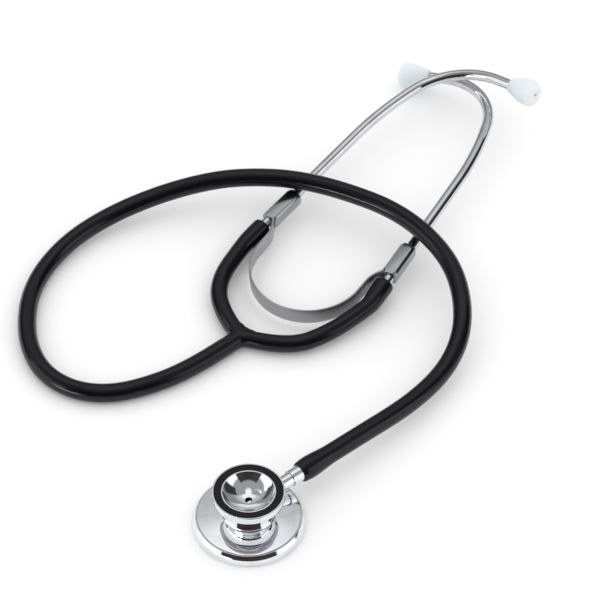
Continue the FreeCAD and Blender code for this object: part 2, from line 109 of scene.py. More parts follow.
# handling marks on plated metal: soft smudges, and sparse hairline scratches
def makeHandlingMarks():
    group, start, end = newGroup(
        "handlingMarks",
        [("Vector", "NodeSocketVector", None), ("Smudge Scale", "NodeSocketFloat", 60.0),
         ("Scratch Scale", "NodeSocketFloat", 220.0), ("Scratches", "NodeSocketFloat", 0.5)],
        ["Smudge", "Height"])
    cloud = addNode(group, "ShaderNodeTexNoise", {
        "Vector": start.outputs["Vector"], "Scale": start.outputs["Smudge Scale"],
        "Detail": 4.0, "Roughness": 0.6, "Distortion": 0.8})
    smudge = addNode(group, "ShaderNodeMapRange", {
        "Value": cloud.outputs["Fac"], "From Min": 0.42, "From Max": 0.72}, interpolation_type="SMOOTHSTEP")
    turned = addNode(group, "ShaderNodeMapping", {
        "Vector": start.outputs["Vector"], "Rotation": (0.4, 0.9, 0.6), "Scale": (1.0, 0.12, 0.3)})
    cells = addNode(group, "ShaderNodeTexVoronoi", {
        "Vector": turned.outputs["Vector"], "Scale": start.outputs["Scratch Scale"]},
        feature="DISTANCE_TO_EDGE")
    line = addNode(group, "ShaderNodeMapRange", {
        "Value": cells.outputs["Distance"], "From Min": 0.0, "From Max": 0.03, "To Min": 1.0, "To Max": 0.0})
    patch = addNode(group, "ShaderNodeTexNoise", {
        "Vector": start.outputs["Vector"], "Scale": start.outputs["Scratch Scale"], "Detail": 1.0})
    some = addNode(group, "ShaderNodeMapRange", {
        "Value": patch.outputs["Fac"], "From Min": 0.5, "From Max": 0.65})
    scratch = addNode(group, "ShaderNodeMath", {0: line.outputs["Result"], 1: some.outputs["Result"]},
                      operation="MULTIPLY")
    scaled = addNode(group, "ShaderNodeMath", {0: scratch.outputs[0], 1: start.outputs["Scratches"]},
                     operation="MULTIPLY")
    height = addNode(group, "ShaderNodeMath", {0: 1.0, 1: scaled.outputs[0]}, operation="SUBTRACT")
    group.links.new(smudge.outputs["Result"], end.inputs["Smudge"])
    group.links.new(height.outputs[0], end.inputs["Height"])
    return group


# the skin of moulded and drawn plastics: fine orange peel, soft patches and dust
def makeMouldedSkin():
    group, start, end = newGroup(
        "mouldedSkin",
        [("Vector", "NodeSocketVector", None), ("Peel Scale", "NodeSocketFloat", 900.0),
         ("Patch Scale", "NodeSocketFloat", 45.0), ("Dust Scale", "NodeSocketFloat", 1400.0)],
        ["Height", "Patch", "Dust"])
    peel = addNode(group, "ShaderNodeTexNoise", {
        "Vector": start.outputs["Vector"], "Scale": start.outputs["Peel Scale"], "Detail": 2.0})
    patch = addNode(group, "ShaderNodeTexNoise", {
        "Vector": start.outputs["Vector"], "Scale": start.outputs["Patch Scale"], "Detail": 3.0})
    specks = addNode(group, "ShaderNodeTexVoronoi", {
        "Vector": start.outputs["Vector"], "Scale": start.outputs["Dust Scale"]})
    small = addNode(group, "ShaderNodeMapRange", {
        "Value": specks.outputs["Distance"], "From Min": 0.12, "From Max": 0.2, "To Min": 1.0, "To Max": 0.0})
    settled = addNode(group, "ShaderNodeMapRange", {
        "Value": patch.outputs["Fac"], "From Min": 0.5, "From Max": 0.75})
    dust = addNode(group, "ShaderNodeMath", {0: small.outputs["Result"], 1: settled.outputs["Result"]},
                   operation="MULTIPLY")
    group.links.new(peel.outputs["Fac"], end.inputs["Height"])
    group.links.new(patch.outputs["Fac"], end.inputs["Patch"])
    group.links.new(dust.outputs[0], end.inputs["Dust"])
    return group


# straight drawing lines: fast changes along Z of the vector, slow ones along X and Y
def makeDrawnLines():
    group, start, end = newGroup(
        "drawnLines",
        [("Vector", "NodeSocketVector", None), ("Fineness", "NodeSocketFloat", 4000.0),
         ("Run", "NodeSocketFloat", 60.0)],
        ["Line"])
    stretch = addNode(group, "ShaderNodeCombineXYZ", {
        "X": start.outputs["Run"], "Y": start.outputs["Run"], "Z": start.outputs["Fineness"]})
    scaled = addNode(group, "ShaderNodeVectorMath", {
        0: start.outputs["Vector"], 1: stretch.outputs["Vector"]}, operation="MULTIPLY")
    grain = addNode(group, "ShaderNodeTexNoise", {
        "Vector": scaled.outputs["Vector"], "Scale": 1.0, "Detail": 3.0, "Roughness": 0.65})
    group.links.new(grain.outputs["Fac"], end.inputs["Line"])
    return group


handlingMarks = makeHandlingMarks()
mouldedSkin = makeMouldedSkin()
drawnLines = makeDrawnLines()


def newMaterial(name, **constants):
    material = bpy.data.materials.new(name)
    material.use_nodes = True
    tree = material.node_tree
    shader = tree.nodes["Principled BSDF"]
    for key, value in constants.items():
        shader.inputs[key].default_value = value
    coordinates = addNode(tree, "ShaderNodeTexCoord")
    return material, tree, shader, coordinates.outputs["Object"]


def useGroup(tree, group, vector, **values):
    node = addNode(tree, "ShaderNodeGroup", node_tree=group)
    tree.links.new(vector, node.inputs["Vector"])
    for key, value in values.items():
        node.inputs[key].default_value = value
    return node


def mixColours(tree, factor, first, second):
    mix = addNode(tree, "ShaderNodeMix", data_type="RGBA")
    tree.links.new(factor, mix.inputs[0])
    mix.inputs[6].default_value = (*first, 1)
    mix.inputs[7].default_value = (*second, 1)
    return mix.outputs[2]


def spread(tree, value, low, high, fromLow=0.0, fromHigh=1.0):
    ramp = addNode(tree, "ShaderNodeMapRange", {
        "Value": value, "From Min": fromLow, "From Max": fromHigh, "To Min": low, "To Max": high})
    return ramp.outputs["Result"]


def addBump(tree, shader, height, strength, distance):
    bump = addNode(tree, "ShaderNodeBump", {"Strength": strength, "Distance": distance, "Height": height})
    tree.links.new(bump.outputs["Normal"], shader.inputs["Normal"])


chromeSetup = {
    "clean": (0.83, 0.84, 0.86),
    "smudged": (0.72, 0.73, 0.76),
    "roughness": (0.035, 0.10),
    # colour of the painted shade inside the drilled port, and the soft edge of that shade
    "port": (0.02, 0.02, 0.021),
    "portShadeEdge": 0.06,
}


def makeChrome(name, setup, smudgeScale, scratchScale, scratches, portRadius=None):
    material, tree, shader, place = newMaterial(name, Metallic=1.0)
    marks = useGroup(tree, handlingMarks, place, **{
        "Smudge Scale": smudgeScale, "Scratch Scale": scratchScale, "Scratches": scratches})
    tree.links.new(mixColours(tree, marks.outputs["Smudge"], setup["clean"], setup["smudged"]),
                   shader.inputs["Base Color"])
    tree.links.new(spread(tree, marks.outputs["Smudge"], *setup["roughness"]), shader.inputs["Roughness"])
    addBump(tree, shader, marks.outputs["Height"], 0.08, 0.00001)
    if portRadius:
        # painted shade: the base colour turns near black inside the port drilled down the middle, where shade
        # falls in the narrow bore
        flat = addNode(tree, "ShaderNodeVectorMath", {0: place, 1: (1.0, 1.0, 0.0)}, operation="MULTIPLY")
        away = addNode(tree, "ShaderNodeVectorMath", {0: flat.outputs["Vector"]}, operation="LENGTH")
        outside = portRadius + setup["portShadeEdge"]
        port = spread(tree, away.outputs["Value"], 1.0, 0.0, portRadius * mm, outside * mm)
        polished = shader.inputs["Base Color"].links[0].from_socket
        mix = addNode(tree, "ShaderNodeMix", {0: port, 6: polished}, data_type="RGBA")
        mix.inputs[7].default_value = (*setup["port"], 1)
        tree.links.new(mix.outputs[2], shader.inputs["Base Color"])
    return material


# the body's chrome carries the painted shade in its drilled port
chromeBody = makeChrome("chromeBody", chromeSetup, 90.0, 260.0, 0.5, portRadius=1.52)
chromePlate = makeChrome("chromePlate", chromeSetup, 90.0, 260.0, 0.5)
tubeChromeSetup = {"clean": (0.66, 0.66, 0.68), "smudged": (0.56, 0.56, 0.58), "roughness": (0.05, 0.12)}
tubeChrome = makeChrome("tubeChrome", tubeChromeSetup, 60.0, 300.0, 0.6)


springSteelSetup = {"light": (0.46, 0.46, 0.47), "dark": (0.32, 0.32, 0.33), "roughness": (0.30, 0.45)}


# drawn lines run along the strip, so the pattern changes along the binaural's upward axis
def makeDrawnSteel(name, setup, upward, fineness, bumpStrength):
    material, tree, shader, place = newMaterial(name, Metallic=1.0)
    turn = upward.rotation_difference(Vector((0, 0, 1))).to_euler()
    mapped = addNode(tree, "ShaderNodeMapping", {"Vector": place, "Rotation": tuple(turn)})
    lines = useGroup(tree, drawnLines, mapped.outputs["Vector"], Fineness=fineness, Run=70.0)
    marks = useGroup(tree, handlingMarks, place, **{
        "Smudge Scale": 70.0, "Scratch Scale": 200.0, "Scratches": 0.4})
    tree.links.new(mixColours(tree, lines.outputs["Line"], setup["dark"], setup["light"]),
                   shader.inputs["Base Color"])
    rough = addNode(tree, "ShaderNodeMath", {0: lines.outputs["Line"], 1: marks.outputs["Smudge"]},
                    operation="ADD")
    tree.links.new(spread(tree, rough.outputs[0], *setup["roughness"], 0.3, 1.5), shader.inputs["Roughness"])
    addBump(tree, shader, lines.outputs["Line"], bumpStrength, 0.00002)
    return material


binauralUp = jointAxis("left_ear_spread")
springSteel = makeDrawnSteel("springSteel", springSteelSetup, binauralUp, 5000.0, 0.25)
clipSteelSetup = {"light": (0.42, 0.43, 0.45), "dark": (0.28, 0.29, 0.31), "roughness": (0.14, 0.26)}
clipSteel = makeDrawnSteel("clipSteel", clipSteelSetup, binauralUp, 2500.0, 0.12)
grubSteelSetup = {"light": (0.55, 0.55, 0.56), "dark": (0.35, 0.35, 0.36), "roughness": (0.25, 0.4)}
grubSteel = makeDrawnSteel("grubSteel", grubSteelSetup, Vector((0, 0, 1)), 6000.0, 0.2)


def makePlastic(name, base, dusty, roughness, peelScale, peelStrength, **constants):
    material, tree, shader, place = newMaterial(name, **constants)
    skin = useGroup(tree, mouldedSkin, place, **{"Peel Scale": peelScale})
    tree.links.new(mixColours(tree, skin.outputs["Dust"], base, dusty), shader.inputs["Base Color"])
    tree.links.new(spread(tree, skin.outputs["Patch"], *roughness, 0.3, 0.7), shader.inputs["Roughness"])
    addBump(tree, shader, skin.outputs["Height"], peelStrength, 0.00003)
    return material


blackPvc = makePlastic("blackPvc", (0.0028, 0.0028, 0.0042), (0.008, 0.008, 0.009), (0.14, 0.22), 700.0, 0.1,
                       **{"Specular IOR Level": 0.3})
blackRubber = makePlastic("blackRubber", (0.008, 0.007, 0.008), (0.02, 0.02, 0.02), (0.5, 0.62), 2500.0, 0.35,
                          **{"Specular IOR Level": 0.2})
whiteSilicone = makePlastic("whiteSilicone", (0.65, 0.68, 0.71), (0.60, 0.63, 0.66), (0.32, 0.42),
                            1200.0, 0.15,
                            **{"Subsurface Weight": 0.6, "Subsurface Scale": 0.006,
                               "Subsurface Radius": (1.0, 1.0, 1.0), "IOR": 1.41})


# glass-cloth laminate of the diaphragm: a fine square weave under a clear face
def makeLaminate():
    material, tree, shader, place = newMaterial("laminateSheet", **{
        "Coat Weight": 0.4, "Coat Roughness": 0.1})
    waves = []
    for direction in ("X", "Y"):
        wave = addNode(tree, "ShaderNodeTexWave", {"Vector": place, "Scale": 420.0, "Distortion": 0.2},
                       bands_direction=direction)
        waves.append(wave.outputs["Fac"])
    weave = addNode(tree, "ShaderNodeMath", {0: waves[0], 1: waves[1]}, operation="MULTIPLY")
    skin = useGroup(tree, mouldedSkin, place)
    tree.links.new(mixColours(tree, weave.outputs[0], (0.66, 0.68, 0.68), (0.80, 0.81, 0.80)),
                   shader.inputs["Base Color"])
    tree.links.new(spread(tree, skin.outputs["Patch"], 0.25, 0.4, 0.3, 0.7), shader.inputs["Roughness"])
    addBump(tree, shader, weave.outputs[0], 0.15, 0.00002)
    return material


laminateSheet = makeLaminate()
print("materials ready")


# shapes are modelled in millimetres, and placed in metres
def placing(origin, forward, sideways=None):
    # Z of the shape goes forward; X goes sideways
    forward = forward.normalized()
    side = sideways if sideways is not None else forward.orthogonal()
    side = (side - forward * side.dot(forward)).normalized()
    other = forward.cross(side)
    turn = Matrix((side, other, forward)).transposed().to_4x4()
    return Matrix.Translation(origin) @ turn @ Matrix.Scale(mm, 4)


def addPiece(name, bm, material, body=None, nodes=(), sharp=35.0):
    mesh = bpy.data.meshes.new(name)
    bm.to_mesh(mesh)
    bm.free()
    mesh.shade_smooth()
    mesh.set_sharp_from_angle(angle=math.radians(sharp))
    mesh.materials.append(material)
    piece = bpy.data.objects.new(name, mesh)
    scene.collection.objects.link(piece)
    if nodes:
        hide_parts(*nodes)
    if body:
        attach(piece, body)
    return piece


# corners are radius and height, then any rounding and its segments; the outline closes on itself
def turnedShape(corners, steps=96, segments=6):
    bm = bmesh.new()
    points = [bm.verts.new((corner[0], 0, corner[1])) for corner in corners]
    for first, second in zip(points, points[1:] + points[:1]):
        if first.co.x > 0 or second.co.x > 0:
            bm.edges.new((first, second))
    for corner, vert in zip(corners, points):
        if len(corner) > 2:
            bmesh.ops.bevel(bm, geom=[vert], offset=corner[2], affect="VERTICES", profile=0.5,
                            segments=corner[3] if len(corner) > 3 else segments, material=-1)
    bmesh.ops.spin(bm, geom=bm.verts[:] + bm.edges[:], cent=(0, 0, 0), axis=(0, 0, 1),
                   angle=2 * math.pi, steps=steps, use_merge=True)
    bmesh.ops.remove_doubles(bm, verts=bm.verts, dist=1e-5)
    bmesh.ops.recalc_face_normals(bm, faces=bm.faces)
    return bm


# the hose
stemAxis = jointAxis("chestpiece_turn")
stemPoint = jointPoint("chestpiece_turn")
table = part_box("diaphragm_ring")[0].z
hoseSetup = {
    "diameter": 8.2,
    "length": 500.7,
    "yokeCentre": (-5.0, 101.0),
    "stubLength": 10.5,
    "cuffEnd": 43.0,  # from the chestpiece's axis, along the stem
    "lastRun": 14.0,
    "sides": 14,
    # x, y and height above the table, from the yoke to the stem
    "route": [
        (-27.5, 81.1, 4.1), (-48.3, 70.7, 4.1), (-63.4, 67.7, 4.1), (-77.6, 70.9, 4.1),
        (-89.2, 80.4, 4.1), (-95.8, 94.4, 4.1), (-98.2, 109.4, 4.1), (-97.5, 127.3, 4.1),
        (-91.3, 145.1, 4.3), (-79.4, 161.8, 5.2), (-61.2, 175.2, 7.5), (-38.8, 183.9, 11.5),
        (-16.5, 187.4, 15.8), (2.0, 187.6, 17.2), (20.3, 185.6, 17.4), (40.6, 178.5, 17.4),
        (63.4, 166.1, 17.4), (80.2, 147.2, 17.3), (90.0, 125.4, 16.9), (92.0, 100.5, 12.8),
        (84.9, 80.8, 7.5), (68.9, 59.2, 8.5),
    ],
}


def alongStem(distance):
    return stemPoint + stemAxis * (distance * mm)


def makeHose(setup):
    radius = setup["diameter"] / 2
    route = [Vector((x * mm, y * mm, table + height * mm)) for x, y, height in setup["route"]]
    yokeX, yokeY = setup["yokeCentre"]
    yokeCentre = Vector((yokeX * mm, yokeY * mm, table + radius * mm))
    start = yokeCentre + (route[0] - yokeCentre).normalized() * (setup["stubLength"] * mm)
    points = [start] + route + [alongStem(setup["cuffEnd"] + setup["lastRun"]), alongStem(setup["cuffEnd"])]
    curve = bpy.data.curves.new("hoseTube", "CURVE")
    curve.dimensions = "3D"
    spline = curve.splines.new("NURBS")
    spline.points.add(len(points) - 1)
    for target, place in zip(spline.points, points):
        target.co = (*place, 1)
    spline.order_u = 3
    spline.use_endpoint_u = True
    spline.resolution_u = 14
    curve.bevel_depth = radius * mm
    curve.bevel_resolution = setup["sides"]
    curve.materials.append(blackPvc)
    piece = bpy.data.objects.new("hoseTube", curve)
    scene.collection.objects.link(piece)
    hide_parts("hose")
    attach(piece, "tubing")
    return piece, points, yokeCentre


hoseTube, hosePoints, yokeCentre = makeHose(hoseSetup)

# the hose's end, stretched over the stem's barb
cuffSetup = {"bore": 3.1, "mouth": 4.3, "swell": 4.85, "start": 27.0, "end": 43.0}


def makeCuff(setup):
    hoseRadius = hoseSetup["diameter"] / 2
    bm = turnedShape([
        (setup["bore"], setup["start"]),
        (setup["mouth"], setup["start"], 0.35),
        (setup["swell"], setup["start"] + 2.8, 2.0, 10),
        (setup["swell"], setup["start"] + 7.0, 2.0, 10),
        (hoseRadius - 0.01, setup["end"] - 1.0, 3.0, 10),
        (hoseRadius - 0.05, setup["end"] + 1.5),
        (setup["bore"], setup["end"] + 1.5),
    ], steps=64)
    bmesh.ops.transform(bm, matrix=placing(stemPoint, stemAxis), verts=bm.verts)
    return addPiece("hoseCuff", bm, blackPvc, "tubing", ["hose_cuff"])


hoseCuff = makeCuff(cuffSetup)
print("hose ready")


# the binaural's own frame
sides = {"left": -1, "right": 1}
tubeAxes = {side: jointAxis(side + "_ear_tube_turn") for side in sides}
mouths = {side: jointPoint(side + "_ear_tube_turn") for side in sides}
binauralAlong = (tubeAxes["left"] + tubeAxes["right"]).normalized()
binauralAcross = binauralAlong.cross(binauralUp).normalized()
mouthMiddle = (mouths["left"] + mouths["right"]) / 2


# distances in millimetres: along from the branches' mouths, negative towards the yoke,
# and across to the right
def inBinaural(along, across, up=0.0):
    return mouthMiddle + (binauralAlong * along + binauralAcross * across + binauralUp * up) * mm


def inwards(side):
    lean = binauralAcross * -sides[side]
    return (lean - tubeAxes[side] * lean.dot(tubeAxes[side])).normalized()


yokeSetup = {
    "stemRadius": 4.1,
    "legRadius": 3.85,
    "leg": 9.0,
    "voxel": 0.3,
    "overrun": 2.0,  # how far each leg runs past its cut before it is trimmed
    "smoothing": 40,
    "smoothedAllOver": 8,  # the first rounds of smoothing reach everywhere
    "crotch": 9.5,  # how far from the middle the smoothing reaches
    # round lumps that fill the corner between the legs: sideways and into the corner, and radius
    "web": [(0.0, 2.0, 3.75), (3.4, 2.6, 3.65), (-3.4, 2.6, 3.65)],
}
branchSetup = {
    "mouthRadius": 4.45,
    "boreRadius": 2.54,
    "bends": {"left": [(-49.0, -22.5), (-35.5, -31.5)], "right": [(-52.0, 17.0), (-37.0, 27.0)]},
    # distance from the mouth along the ear tube's axis, and thickness
    "ending": [(-15.0, 3.87), (-10.0, 4.33), (-5.0, 4.45), (-1.0, 4.42)],
    # the rounded lip, past the ending: forward, and how much thinner
    "lip": [(0.5, 0.12), (0.85, 0.4), (1.0, 0.8)],
    "boreDepth": 2.5,
}


def firstBend(side):
    along, across = branchSetup["bends"][side][0]
    return inBinaural(along, across)


def makeYoke(setup):
    bm = bmesh.new()
    targets = [(hosePoints[1], setup["stemRadius"], hoseSetup["stubLength"])]
    targets += [(firstBend(side), setup["legRadius"], setup["leg"]) for side in sides]
    for target, radius, length in targets:
        stub = bmesh.ops.create_cone(bm, cap_ends=True, segments=48, radius1=radius, radius2=radius,
                                     depth=length + setup["overrun"])
        bmesh.ops.translate(bm, verts=stub["verts"], vec=(0, 0, (length + setup["overrun"]) / 2))
        bmesh.ops.transform(bm, verts=stub["verts"], matrix=placing(yokeCentre, target - yokeCentre))
    middle = bmesh.ops.create_uvsphere(bm, u_segments=32, v_segments=16, radius=setup["stemRadius"] * mm)
    bmesh.ops.translate(bm, verts=middle["verts"], vec=yokeCentre)
    between = sum(((target - yokeCentre).normalized() for target, radius, length in targets[1:]), Vector())
    between.normalize()
    beside = between.cross(binauralUp)
    for sideways, distance, radius in setup["web"]:
        lump = bmesh.ops.create_uvsphere(bm, u_segments=32, v_segments=16, radius=radius * mm)
        offset = between * distance + beside * sideways
        bmesh.ops.translate(bm, verts=lump["verts"], vec=yokeCentre + offset * mm)
    mesh = bpy.data.meshes.new("yokeRough")
    bm.to_mesh(mesh)
    rough = bpy.data.objects.new("yokeRough", mesh)
    scene.collection.objects.link(rough)
    remesh = rough.modifiers.new("blend", "REMESH")
    remesh.mode = "VOXEL"
    remesh.voxel_size = setup["voxel"] * mm
    shaped = bpy.data.meshes.new_from_object(rough.evaluated_get(bpy.context.evaluated_depsgraph_get()))
    bpy.data.objects.remove(rough)
    bm.clear()
    bm.from_mesh(shaped)
    for turn in range(setup["smoothing"]):
        everywhere = turn < setup["smoothedAllOver"]
        near = [v for v in bm.verts if everywhere or (v.co - yokeCentre).length < setup["crotch"] * mm]
        bmesh.ops.smooth_vert(bm, verts=near, factor=0.5, use_axis_x=True, use_axis_y=True, use_axis_z=True)
    for target, radius, length in targets:
        direction = (target - yokeCentre).normalized()
        cut = bmesh.ops.bisect_plane(bm, geom=bm.verts[:] + bm.edges[:] + bm.faces[:], clear_outer=True,
                                     plane_co=yokeCentre + direction * (length * mm), plane_no=direction)
        rim = [item for item in cut["geom_cut"] if isinstance(item, bmesh.types.BMEdge)]
        bmesh.ops.edgeloop_fill(bm, edges=rim)
    bmesh.ops.recalc_face_normals(bm, faces=bm.faces)
    return addPiece("yokeMoulding", bm, blackPvc, "tubing", ["yoke"], sharp=50.0)


def makeBranch(side, setup):
    axis = tubeAxes[side]
    direction = (firstBend(side) - yokeCentre).normalized()
    start = yokeCentre + direction * ((yokeSetup["leg"] - 1.5) * mm)
    path = [(start, yokeSetup["legRadius"] - 0.02)]
    path += [(inBinaural(*bend), yokeSetup["legRadius"]) for bend in setup["bends"][side]]
    path += [(mouths[side] + axis * (distance * mm), radius) for distance, radius in setup["ending"]]
    curve = bpy.data.curves.new("branchPath", "CURVE")
    curve.dimensions = "3D"
    spline = curve.splines.new("NURBS")
    spline.points.add(len(path) - 1)
    for target, (place, radius) in zip(spline.points, path):
        target.co = (*place, 1)
        target.radius = radius
    spline.order_u = 3
    spline.use_endpoint_u = True
    spline.resolution_u = 14
    curve.bevel_depth = mm
    curve.bevel_resolution = 10
    rough = bpy.data.objects.new("branchPath", curve)
    scene.collection.objects.link(rough)
    tube = bpy.data.meshes.new_from_object(rough.evaluated_get(bpy.context.evaluated_depsgraph_get()))
    bpy.data.objects.remove(rough)
    bm = bmesh.new()
    bm.from_mesh(tube)
    bmesh.ops.remove_doubles(bm, verts=bm.verts, dist=1e-7)
    rims = [edge for edge in bm.edges if edge.is_boundary]
    mouthRim = [e for e in rims if (e.verts[0].co - mouths[side]).length < 6 * mm]
    startRim = [e for e in rims if e not in mouthRim]
    bmesh.ops.edgeloop_fill(bm, edges=startRim)
    # the rounded lip: forward and inward in small steps, then back into the bore
    ending = setup["ending"][-1]
    steps = [(forward, ending[1] - thinner) for forward, thinner in setup["lip"]]
    steps += [(setup["lip"][-1][0], setup["boreRadius"]), (-setup["boreDepth"], setup["boreRadius"])]
    for forward, radius in steps:
        grown = bmesh.ops.extrude_edge_only(bm, edges=mouthRim)
        verts = [item for item in grown["geom"] if isinstance(item, bmesh.types.BMVert)]
        mouthRim = [item for item in grown["geom"] if isinstance(item, bmesh.types.BMEdge)]
        centre = mouths[side] + axis * ((ending[0] + forward) * mm)
        for vert in verts:
            outward = vert.co - mouths[side]
            outward -= axis * outward.dot(axis)
            vert.co = centre + outward.normalized() * (radius * mm)
    bmesh.ops.edgeloop_fill(bm, edges=mouthRim)
    bmesh.ops.recalc_face_normals(bm, faces=bm.faces)
    piece = addPiece(side + "Branch", bm, blackPvc, nodes=[side + "_branch"], sharp=60.0)
    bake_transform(piece)
    return piece


makeYoke(yokeSetup)
for side in sides:
    makeBranch(side, branchSetup)
print("yoke and branches ready")


tubeSetup = {
    "radius": 2.5,
    "bore": 1.9,
    "grip": 12.0,
    "straight": 68.0,
    # radius, angle and steps of the gentle bend, then of the tight one
    "bends": {
        "left": [(150.0, 15.0, 10), (30.5, 79.0, 40)],
        "right": [(150.0, 15.0, 10), (30.5, 88.0, 44)],
    },
    "end": {"left": 8.4, "right": 4.0},
    "lift": {"left": 12.0, "right": -9.0},
    "boreDepth": 4.0,
}


def makeEarTube(side, setup):
    axis = tubeAxes[side]
    lift = math.radians(setup["lift"][side])
    towards = inwards(side) * math.cos(lift) + binauralUp * math.sin(lift)
    bm = bmesh.new()
    bmesh.ops.create_circle(bm, segments=48, radius=setup["radius"])
    here = mouths[side] - axis * (setup["grip"] * mm)
    bmesh.ops.transform(bm, matrix=placing(here, axis, towards), verts=bm.verts)
    startRim = bm.edges[:]

    def pushed(edges, vector):
        grown = bmesh.ops.extrude_edge_only(bm, edges=edges)
        verts = [item for item in grown["geom"] if isinstance(item, bmesh.types.BMVert)]
        bmesh.ops.translate(bm, verts=verts, vec=vector)
        return [item for item in grown["geom"] if isinstance(item, bmesh.types.BMEdge)]

    rim = pushed(startRim, axis * ((setup["grip"] + setup["straight"]) * mm))
    here = mouths[side] + axis * (setup["straight"] * mm)
    for radius, angle, steps in setup["bends"][side]:
        centre = here + towards * (radius * mm)
        turnAxis = axis.cross(towards)
        grown = bmesh.ops.spin(bm, geom=rim, cent=centre, axis=turnAxis, angle=math.radians(angle),
                               steps=steps)
        rim = [item for item in grown["geom_last"] if isinstance(item, bmesh.types.BMEdge)]
        turn = Matrix.Rotation(math.radians(angle), 3, turnAxis)
        here = centre + turn @ (here - centre)
        axis, towards = turn @ axis, turn @ towards
    rim = pushed(rim, axis * (setup["end"][side] * mm))
    here = here + axis * (setup["end"][side] * mm)
    gripEnd = mouths[side] - tubeAxes[side] * (setup["grip"] * mm)
    for edges, place, outward in ((rim, here, axis), (startRim, gripEnd, -tubeAxes[side])):
        inner = bmesh.ops.extrude_edge_only(bm, edges=edges)
        verts = [item for item in inner["geom"] if isinstance(item, bmesh.types.BMVert)]
        bmesh.ops.scale(bm, verts=verts, vec=(setup["bore"] / setup["radius"],) * 3,
                        space=Matrix.Translation(-place))
        innerRim = [item for item in inner["geom"] if isinstance(item, bmesh.types.BMEdge)]
        innerRim = pushed(innerRim, -outward * (setup["boreDepth"] * mm))
        bmesh.ops.edgeloop_fill(bm, edges=innerRim)
    bmesh.ops.recalc_face_normals(bm, faces=bm.faces)
    return addPiece(side + "EarTube", bm, tubeChrome, side + "_tube", [side + "_ear_tube"])


for side in sides:
    makeEarTube(side, tubeSetup)
print("ear tubes ready")


eartipSetup = {
    "length": 14.5,
    "radius": 6.3,
    "mouth": 3.4,
    "widest": 9.8,
    "hole": 0.8,
    "socket": 2.55,
    "socketDepth": 6.0,
    "setOff": 0.85,  # from the joint's point to the mouth
}


def makeEartip(side, setup):
    joint = side + "_eartip_turn"
    bm = turnedShape([
        (setup["socket"], 0.0, 0.2),
        (setup["mouth"], 0.0, 0.45),
        (setup["radius"] + 0.15, setup["widest"] - 1.6, 3.6, 12),
        (setup["radius"] - 0.2, setup["length"] - 1.0, 2.6, 12),
        (setup["radius"] - 3.0, setup["length"] + 0.1, 0.9, 8),
        (setup["hole"], setup["length"] - 0.1, 0.3),
        (setup["hole"], setup["socketDepth"]),
        (setup["socket"], setup["socketDepth"] - 0.2),
    ], steps=64)
    mouth = jointPoint(joint) + jointAxis(joint) * (setup["setOff"] * mm)
    bmesh.ops.transform(bm, matrix=placing(mouth, jointAxis(joint)), verts=bm.verts)
    return addPiece(side + "SoftTip", bm, whiteSilicone, side + "_tip",
                    [side + "_eartip"], sharp=60.0)


for side in sides:
    makeEartip(side, eartipSetup)
print("eartips ready")


# the leaf spring is two halves that meet at the crown
springSetup = {
    "width": 8.0,
    "thickness": 0.8,
    "bowRadius": 26.0,
    "bowCentre": -11.5,  # along, from the branches' mouths
    "straight": 9.6,  # from the bow's end to the knee
    "kneeRadius": 12.0,
    "edgeRounding": 0.3,
    "clipStart": 3.7,
    "tangWidth": 5.4,
    "tangLength": 18.5,
    "tangTurn": 2.0,
}
tangOffset = tubeSetup["radius"] + 0.09 + springSetup["thickness"] / 2


